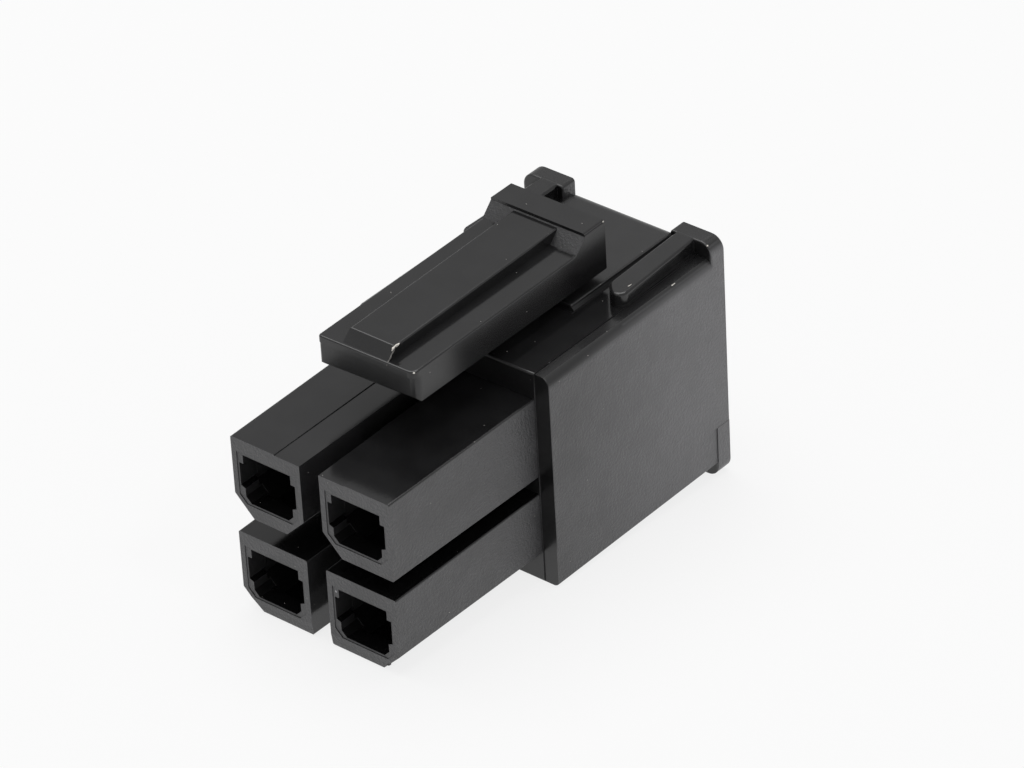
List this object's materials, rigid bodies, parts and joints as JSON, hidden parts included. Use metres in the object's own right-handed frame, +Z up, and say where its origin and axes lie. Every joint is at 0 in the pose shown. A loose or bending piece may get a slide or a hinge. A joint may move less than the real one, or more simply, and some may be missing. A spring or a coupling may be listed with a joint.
{
  "type": "latched plug housing",
  "caption": "Black moulded plug housing for board and cable wiring, with keyed square silos, a see-saw latch on top and ears and feet at the wire side.",
  "frame": {"origin": "middle of the bounding box's bottom face, level with the rear feet; the plug's middle plane is X = 0", "axes": "+Y from the mating face to the wire side, +Z up towards the latch, +X across to the right when looking along +Y"},
  "size_m": [0.0064, 0.0132, 0.0089],
  "materials": {
    "black_nylon": "fine moulded grain on the sides, half gloss on the top faces"
  },
  "bodies": {
    "root": {"housing": "black_nylon"}
  },
  "joints": []
}
